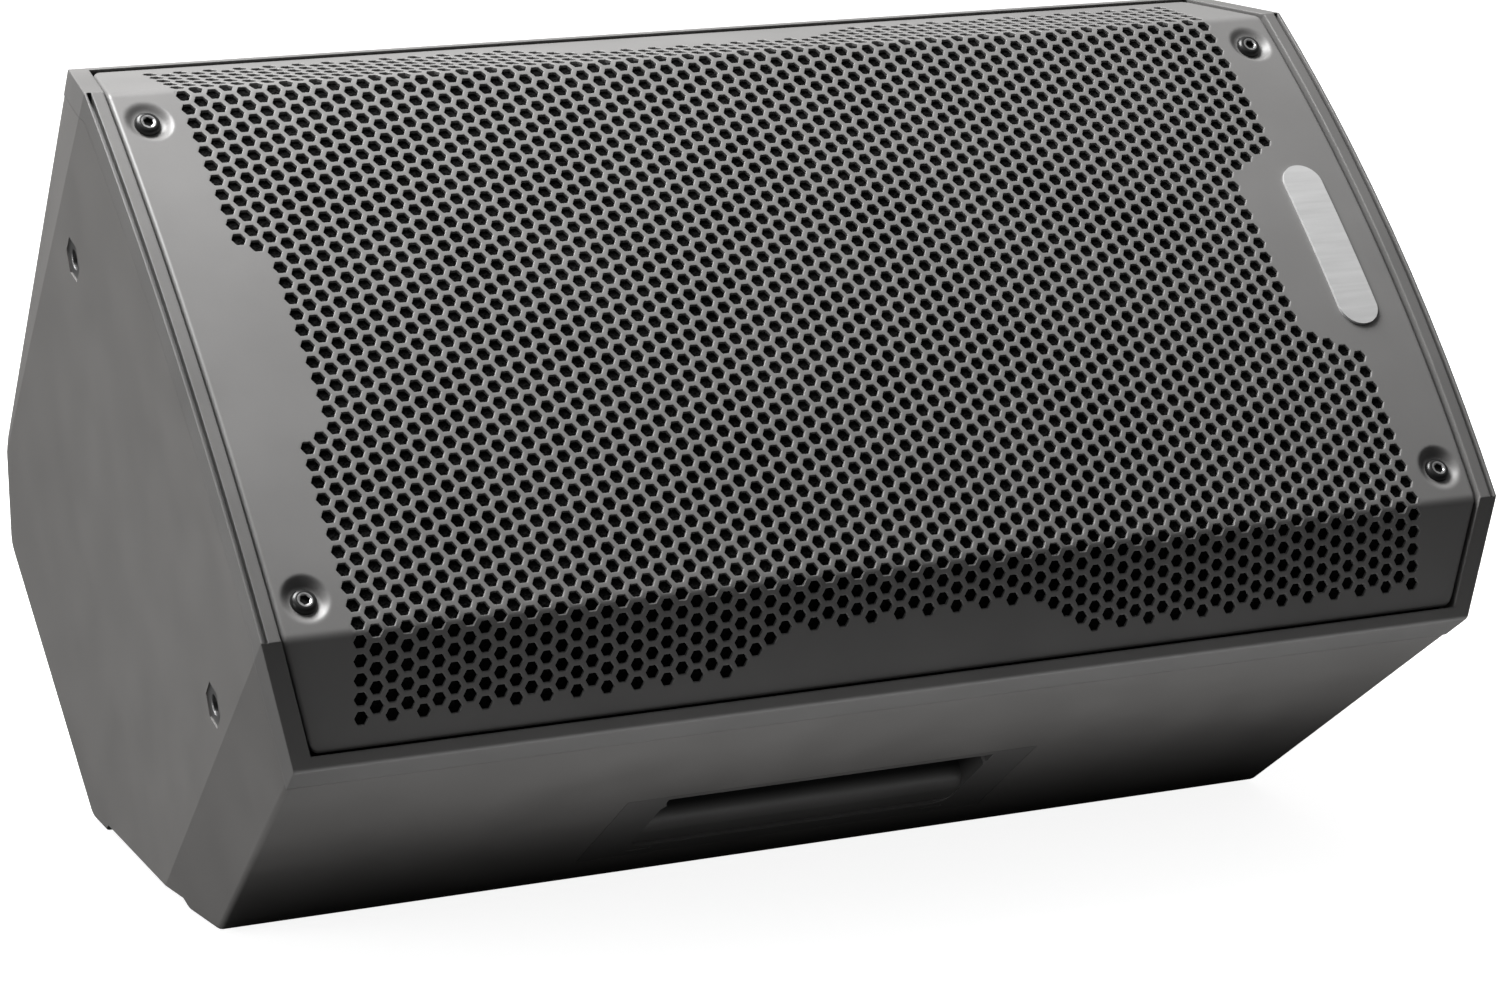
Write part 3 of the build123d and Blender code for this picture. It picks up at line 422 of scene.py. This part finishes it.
def fine_height(tree, vector, pattern, grain):
    """Height of the finish's fine grain: foam cells, windings and cloth, or moulded noise."""
    if pattern == "cells":
        return add_node(tree, "TexVoronoi", {"Vector": vector}, Scale=grain).outputs["Distance"]
    if pattern == "bands":
        wave = add_node(tree, "TexWave", {"Vector": vector}, Scale=grain, Distortion=1.0)
        return wave.outputs["Fac"]
    noise = add_node(tree, "TexNoise", {"Vector": vector}, Scale=grain, Detail=6.0, Roughness=0.6)
    return noise.outputs["Fac"]


def wear_and_edge_highlight(tree, colour, rounded, base, edge):
    """Paler colour where the rounded normal leaves the true one, at the piece's edges: wear, and
    on the frame a painted highlight along its rims.
    """
    geometry = add_node(tree, "NewGeometry")
    dot = add_node(tree, "VectorMath", {0: rounded, 1: geometry.outputs["Normal"]},
                   operation="DOT_PRODUCT")
    edge_paling = add_node(tree, "MapRange", {"Value": dot.outputs["Value"]},
                    From_Min=0.995, From_Max=0.85, To_Max=edge)
    pale = (*[min(c * 2.6 + 0.01, 1) for c in base], 1)
    mix = add_node(tree, "Mix", data_type="RGBA", B=pale)
    tree.links.new(edge_paling.outputs[0], mix.inputs["Factor"])
    tree.links.new(colour, mix.inputs["A"])
    return mix.outputs["Result"]


def painted_recess_shade(tree, colour, position, recess):
    """Painted shade: colour that turns dark with depth below a plane, standing in for the shade
    inside a recess.
    """
    point, normal, shallow, deep, dark = recess
    into = add_node(tree, "VectorMath", {1: position}, operation="SUBTRACT")
    into.inputs[0].default_value = point
    below = add_node(tree, "VectorMath", {0: into.outputs[0]}, operation="DOT_PRODUCT")
    below.inputs[1].default_value = normal
    share = add_node(tree, "MapRange", {"Value": below.outputs["Value"]},
                     From_Min=shallow, From_Max=deep)
    mix = add_node(tree, "Mix", data_type="RGBA", B=(dark, dark, dark, 1))
    tree.links.new(share.outputs[0], mix.inputs["Factor"])
    tree.links.new(colour, mix.inputs["A"])
    return mix.outputs["Result"]


def surface(name, base, rough, metallic=0.0, vary=0.08, vary_scale=35.0, grain=1500.0, bump=0.2,
            lift=0.0001, stretch=(1, 1, 1), pattern="noise", edge=0.0, edge_r=0.0008, second=None,
            recess=None, **sockets):
    """Procedural finish: colour and roughness drift, fine grain in the bump, paler edges (wear,
    and a painted highlight on the frame) and, where given, painted shade inside a recess.
    """
    mat = bpy.data.materials.new(name)
    mat.use_nodes = True
    tree = mat.node_tree
    tree.nodes.clear()
    position = add_node(tree, "TexCoord").outputs["Object"]
    vector = add_node(tree, "Mapping", {0: position}, Scale=stretch).outputs[0]
    drift = add_node(tree, "TexNoise", {"Vector": vector}, Scale=vary_scale, Detail=4.0)
    height = fine_height(tree, vector, pattern, grain)

    blend = add_node(tree, "Math", {0: height, 2: drift.outputs["Fac"]}, operation="MULTIPLY_ADD")
    blend.inputs[1].default_value = 0.35
    ramp = add_node(tree, "ValToRGB", {0: blend.outputs[0]})
    low, high = ramp.color_ramp.elements
    low.position, high.position = 0.45, 0.9
    low.color = (*[c * (1 - vary) for c in base], 1)
    high.color = (*[min(c * (1 + vary), 1.0) for c in (second or base)], 1)
    colour = ramp.outputs[0]
    bump_node = add_node(tree, "Bump", {"Height": height}, Strength=bump, Distance=lift)
    # paler edges: wear, and on the frame a painted highlight
    if edge:
        rounded = add_node(tree, "Bevel", samples=4, Radius=edge_r).outputs[0]
        tree.links.new(rounded, bump_node.inputs["Normal"])
        colour = wear_and_edge_highlight(tree, colour, rounded, base, edge)
    # painted shade: the colour darkens with depth inside a recess
    if recess:
        colour = painted_recess_shade(tree, colour, position, recess)
    rough_map = add_node(tree, "MapRange", {"Value": drift.outputs["Fac"]},
                         To_Min=max(rough - 0.06, 0.02), To_Max=min(rough + 0.06, 1.0))

    bsdf = add_node(tree, "BsdfPrincipled", {
        "Base Color": colour, "Roughness": rough_map.outputs[0], "Normal": bump_node.outputs[0]})
    bsdf.inputs["Metallic"].default_value = metallic
    for socket, value in sockets.items():
        bsdf.inputs[socket.replace("_", " ")].default_value = value
    add_node(tree, "OutputMaterial", {0: bsdf.outputs[0]})
    return mat


def grey(v, warm=0.0):
    """Linear grey, a little redder when warm is above 0."""
    return (v * (1 + warm), v, v * (1 - warm))


# Painted shade inside the hand recess: point and outward normal of the lower side face, the
# depths below it, in metres, between which the colour turns dark, and how dark it is at the
# deeper one.
HAND_RECESS_SHADE = ((0, -0.1572, 0.085), (0, -0.633, -0.774), 0.0015, 0.007, 0.012)
FINISHES = {
    "shell_plastic": dict(base=grey(0.108, 0.03), rough=0.52, grain=2200, bump=0.35),
    # The frame's paler edges are a painted highlight along its rims as well as wear.
    "frame_plastic": dict(base=grey(0.108, 0.02), rough=0.5, grain=2200, bump=0.3, edge=0.2),
    "grille_steel": dict(base=grey(0.14, 0.015), rough=0.45, grain=1700, bump=0.12, vary=0.05),
    "foam_black": dict(base=grey(0.0015), rough=0.95, pattern="cells", grain=1100, bump=0.9,
        lift=0.0006, second=grey(0.009), Specular_IOR_Level=0.02),
    "screw_black": dict(base=grey(0.02), rough=0.3, metallic=0.4, grain=2600, bump=0.1, edge=0.8,
        edge_r=0.0003),
    # Bright metal for the ring round each screw's socket: a painted highlight on the black heads.
    "screw_zinc": dict(base=grey(0.55), rough=0.32, metallic=1.0, grain=2000, bump=0.1),
    "badge_metal": dict(base=grey(0.5), rough=0.42, metallic=0.35, grain=900, bump=0.15,
        stretch=(1, 12, 12)),
    "basket_steel": dict(base=grey(0.02), rough=0.45, grain=1200),
    "rubber_black": dict(base=grey(0.018), rough=0.75, grain=1400, bump=0.4, lift=0.0002),
    "cone_paper": dict(base=grey(0.02), rough=0.85, grain=500, bump=0.6, lift=0.0002,
        second=grey(0.035)),
    "former_film": dict(base=(0.6, 0.55, 0.42), rough=0.35, metallic=0.7, grain=700, bump=0.1),
    "copper_wire": dict(base=(0.6, 0.25, 0.1), rough=0.35, metallic=1.0, pattern="bands",
        grain=900, bump=0.6, lift=0.0002),
    "spider_cloth": dict(base=(0.42, 0.3, 0.12), rough=0.85, pattern="bands", grain=700, bump=0.6,
        lift=0.0002),
    "motor_steel": dict(base=grey(0.5), rough=0.38, metallic=1.0, grain=900, bump=0.15, edge=0.3),
    "ferrite": dict(base=grey(0.05), rough=0.6, grain=1100, bump=0.4),
    "horn_plastic": dict(base=grey(0.02), rough=0.5, grain=1800, bump=0.25),
    # The handle's colour darkens with depth into the hand recess: painted shade.
    "handle_plastic": dict(base=grey(0.092, 0.02), rough=0.5, grain=1700, bump=0.4,
        recess=HAND_RECESS_SHADE),
    "socket_plastic": dict(base=grey(0.03), rough=0.5, grain=1700, bump=0.3, edge=0.4),
    "insert_steel": dict(base=grey(0.2), rough=0.42, metallic=1.0, grain=1500, bump=0.2,
        edge=0.5),
    "felt_grey": dict(base=grey(0.3), rough=0.95, pattern="cells", grain=900, bump=0.8,
        lift=0.0006, Sheen_Weight=0.3),
    "panel_metal": dict(base=grey(0.022), rough=0.5, grain=1600, bump=0.3, edge=0.5),
    "sink_aluminium": dict(base=grey(0.05), rough=0.42, metallic=0.8, grain=500, bump=0.15,
        stretch=(1, 14, 14), edge=0.6),
    "jack_plastic": dict(base=grey(0.014), rough=0.38, grain=1500, bump=0.15, edge=0.5),
    "tab_plastic": dict(base=grey(0.2), rough=0.3, grain=1500, bump=0.1, edge=0.4),
    "pin_brass": dict(base=(0.75, 0.55, 0.22), rough=0.28, metallic=1.0, grain=1500, bump=0.1),
    "switch_plastic": dict(base=grey(0.014), rough=0.32, grain=1500, bump=0.1, edge=0.5),
    "rocker_plastic": dict(base=grey(0.02), rough=0.25, grain=1500, bump=0.08, edge=0.5),
    "knob_plastic": dict(base=grey(0.03), rough=0.5, grain=1500, bump=0.25, edge=0.6),
    "button_plastic": dict(base=grey(0.24), rough=0.3, grain=1500, bump=0.08, edge=0.4),
    "light_pipe": dict(base=(0.35, 0.7, 0.42), rough=0.2, grain=1200, bump=0.05,
        Transmission_Weight=0.5, IOR=1.49),
    "circuit_board": dict(base=(0.01, 0.11, 0.04), rough=0.35, pattern="cells", grain=260,
        bump=0.2, second=(0.03, 0.2, 0.08), vary=0.2),
    "capacitor_can": dict(base=grey(0.12), rough=0.35, metallic=0.3, grain=900, bump=0.1,
        edge=0.4),
    "transformer_core": dict(base=(0.08, 0.065, 0.05), rough=0.5, pattern="bands", grain=450,
        bump=0.5, lift=0.0002),
    "wire_sheath": dict(base=(0.25, 0.015, 0.015), rough=0.5, grain=1200, bump=0.2),
}
MATERIALS = {name: surface(name, **finish) for name, finish in FINISHES.items()}
SLOT_OF = {sub["node"]: sub["material_slot"] for sub in frame["record"]["subparts"]}
for node, obj in NODES.items():
    obj.data.materials.clear()
    obj.data.materials.append(MATERIALS[SLOT_OF[node]])

# ---- the perforated front ----
grille = add_mesh("grille_perforated", make_grille(), MATERIALS["grille_steel"])
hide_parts("grille")

# ---- button-head screws that hold the grille ----
HEAD_R, HEAD_HIGH = 4.35, 2.4
SOCKET_R, SOCKET_DEEP = 1.75, 1.5
RING_R = SOCKET_R + 0.85    # outer edge of the ring painted bright as a highlight
RIM_HIGH = 0.5              # straight edge below the dome
DOME_STEPS = 9
TURN = 48


def make_screws():
    """Four domed heads with a hexagonal socket; the ring round it gets material 1, a bright metal
    painted on as the highlight of the socket's edge.
    """
    bm = bmesh.new()
    dome = [(HEAD_R - 0.15, 0.0), (HEAD_R, 0.15), (HEAD_R, RIM_HIGH)]
    for i in range(1, DOME_STEPS):
        a = math.pi / 2 * i / DOME_STEPS
        dome.append((RING_R + (HEAD_R - RING_R) * math.cos(a),
                     RIM_HIGH + (HEAD_HIGH - RIM_HIGH) * math.sin(a)))
    dome += [(RING_R - 0.1, HEAD_HIGH), (SOCKET_R + 0.2, HEAD_HIGH)]
    for sx in (-1, 1):
        for sy in (-1, 1):
            seat = SKIN_AT_SCREW + SEAT_DEPTH
            twist = 0.35 * sx + 0.2 * sy

            def ring(radius, height, hexagonal=0.0):
                verts = []
                for i in range(TURN):
                    a = 2 * math.pi * i / TURN + twist
                    sixth = (a - twist) % (math.pi / 3) - math.pi / 6
                    flat = math.cos(math.pi / 6) / math.cos(sixth)
                    r = radius * (1 + (flat - 1) * hexagonal)
                    x, y = sx * SCREW_X + r * math.cos(a), sy * SCREW_Y + r * math.sin(a)
                    verts.append(bm.verts.new(place(x, y, seat - height)))
                return verts

            loops = [ring(r, h) for r, h in dome]
            loops.append(ring(SOCKET_R, HEAD_HIGH - 0.25, 1.0))
            loops.append(ring(SOCKET_R, HEAD_HIGH - SOCKET_DEEP, 1.0))
            # the two bands of faces round the socket take the bright metal: a painted highlight
            bright = len(loops) - 4
            for n, (a, b) in enumerate(zip(loops, loops[1:])):
                for i in range(TURN):
                    j = (i + 1) % TURN
                    f = bm.faces.new([a[i], a[j], b[j], b[i]])
                    f.material_index = 1 if n in (bright, bright + 1) else 0
            bm.faces.new(loops[-1])
            bm.faces.new(loops[0][::-1])
    bmesh.ops.recalc_face_normals(bm, faces=bm.faces)
    return bm


screws = add_mesh("grille_screw_heads", make_screws(), MATERIALS["screw_black"],
                  sharp=35.0)
# material 1 paints the highlight ring round each socket
screws.data.materials.append(MATERIALS["screw_zinc"])
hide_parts("grille_screws")

# ---- stage, light and camera ----
def studio_world(dim, bright, towards):
    """Soft white surround, brighter towards one direction."""
    world = bpy.data.worlds.new("studio")
    world.use_nodes = True
    tree = world.node_tree
    background = tree.nodes["Background"]
    background.inputs["Color"].default_value = (1, 1, 1, 1)
    position = add_node(tree, "TexCoord").outputs["Generated"]
    dot = add_node(tree, "VectorMath", {0: position}, operation="DOT_PRODUCT")
    dot.inputs[1].default_value = Vector(towards).normalized()
    level = add_node(tree, "MapRange", {"Value": dot.outputs["Value"]},
                     From_Min=-0.2, From_Max=0.9, To_Min=dim, To_Max=bright)
    tree.links.new(level.outputs[0], background.inputs["Strength"])
    bpy.context.scene.world = world


def pale_floor(size, seen, glow, bounce):
    """Pale floor that throws little light back, since cards beside the object do that."""
    bm = bmesh.new()
    bmesh.ops.create_grid(bm, x_segments=8, y_segments=8, size=size)
    mesh = bpy.data.meshes.new("floor")
    bm.to_mesh(mesh)
    bm.free()
    floor = bpy.data.objects.new("floor", mesh)
    bpy.context.scene.collection.objects.link(floor)
    mat = bpy.data.materials.new("floor")
    mat.use_nodes = True
    tree = mat.node_tree
    bsdf = tree.nodes["Principled BSDF"]
    bsdf.inputs["Roughness"].default_value = 0.9
    bsdf.inputs["Specular IOR Level"].default_value = 0.0
    seen_directly = add_node(tree, "LightPath").outputs["Is Camera Ray"]
    mix = add_node(tree, "Mix", data_type="RGBA", A=(bounce, bounce, bounce, 1),
                   B=(seen, seen, seen, 1))
    tree.links.new(seen_directly, mix.inputs["Factor"])
    tree.links.new(mix.outputs["Result"], bsdf.inputs["Base Color"])
    bsdf.inputs["Emission Color"].default_value = (1, 1, 1, 1)
    shine = add_node(tree, "Math", {0: seen_directly}, operation="MULTIPLY")
    shine.inputs[1].default_value = glow
    tree.links.new(shine.outputs[0], bsdf.inputs["Emission Strength"])
    mesh.materials.append(mat)


def softbox(name, where, target, size, power):
    """Rectangular light that the camera doesn't see, turned to its target."""
    data = bpy.data.lights.new(name, "AREA")
    data.shape = "RECTANGLE"
    data.size, data.size_y = size
    data.energy = power
    lamp = bpy.data.objects.new(name, data)
    bpy.context.scene.collection.objects.link(lamp)
    lamp.visible_camera = False
    lamp.location = where
    lamp.rotation_euler = (Vector(target) - Vector(where)).to_track_quat("-Z", "Y").to_euler()


studio_world(0.06, 0.55, (-0.15, 0.6, 0.75))
pale_floor(12.0, 0.5, 0.9, 0.05)
softbox("key_softbox", (-0.5, 0.3, 1.55), (0, 0, 0.12), (0.9, 0.9), 72)
softbox("front_card", (0.06, -0.18, 0.004), (0.06, -0.18, 1.0), (0.6, 0.08), 0.27)
softbox("rear_card", (0.0, 0.26, 0.004), (0.0, 0.24, 1.0), (0.36, 0.16), 0.6)
softbox("left_card", (-1.0, -0.05, 0.17), (0, 0, 0.13), (0.6, 0.4), 5.2)

CAMERA_AT = (-0.7908, -1.5458, 0.5462)
CAMERA_RIGHT = Vector((0.8868, -0.4619, 0.0151))
CAMERA_UP = Vector((0.0983, 0.2205, 0.9704))
FOCAL_LENGTH = 124.3
right = CAMERA_RIGHT.normalized()
up = (CAMERA_UP - right * CAMERA_UP.dot(right)).normalized()
back = right.cross(up)
camera_data = bpy.data.cameras.new("camera")
camera_data.lens = FOCAL_LENGTH
camera_data.sensor_width = 36.0
camera_data.clip_end = 60.0
camera = bpy.data.objects.new("camera", camera_data)
bpy.context.scene.collection.objects.link(camera)
camera.matrix_world = Matrix(((right.x, up.x, back.x, CAMERA_AT[0]),
                              (right.y, up.y, back.y, CAMERA_AT[1]),
                              (right.z, up.z, back.z, CAMERA_AT[2]),
                              (0, 0, 0, 1)))
bpy.context.scene.camera = camera
bpy.context.scene.view_settings.view_transform = "Standard"
bpy.context.view_layer.update()
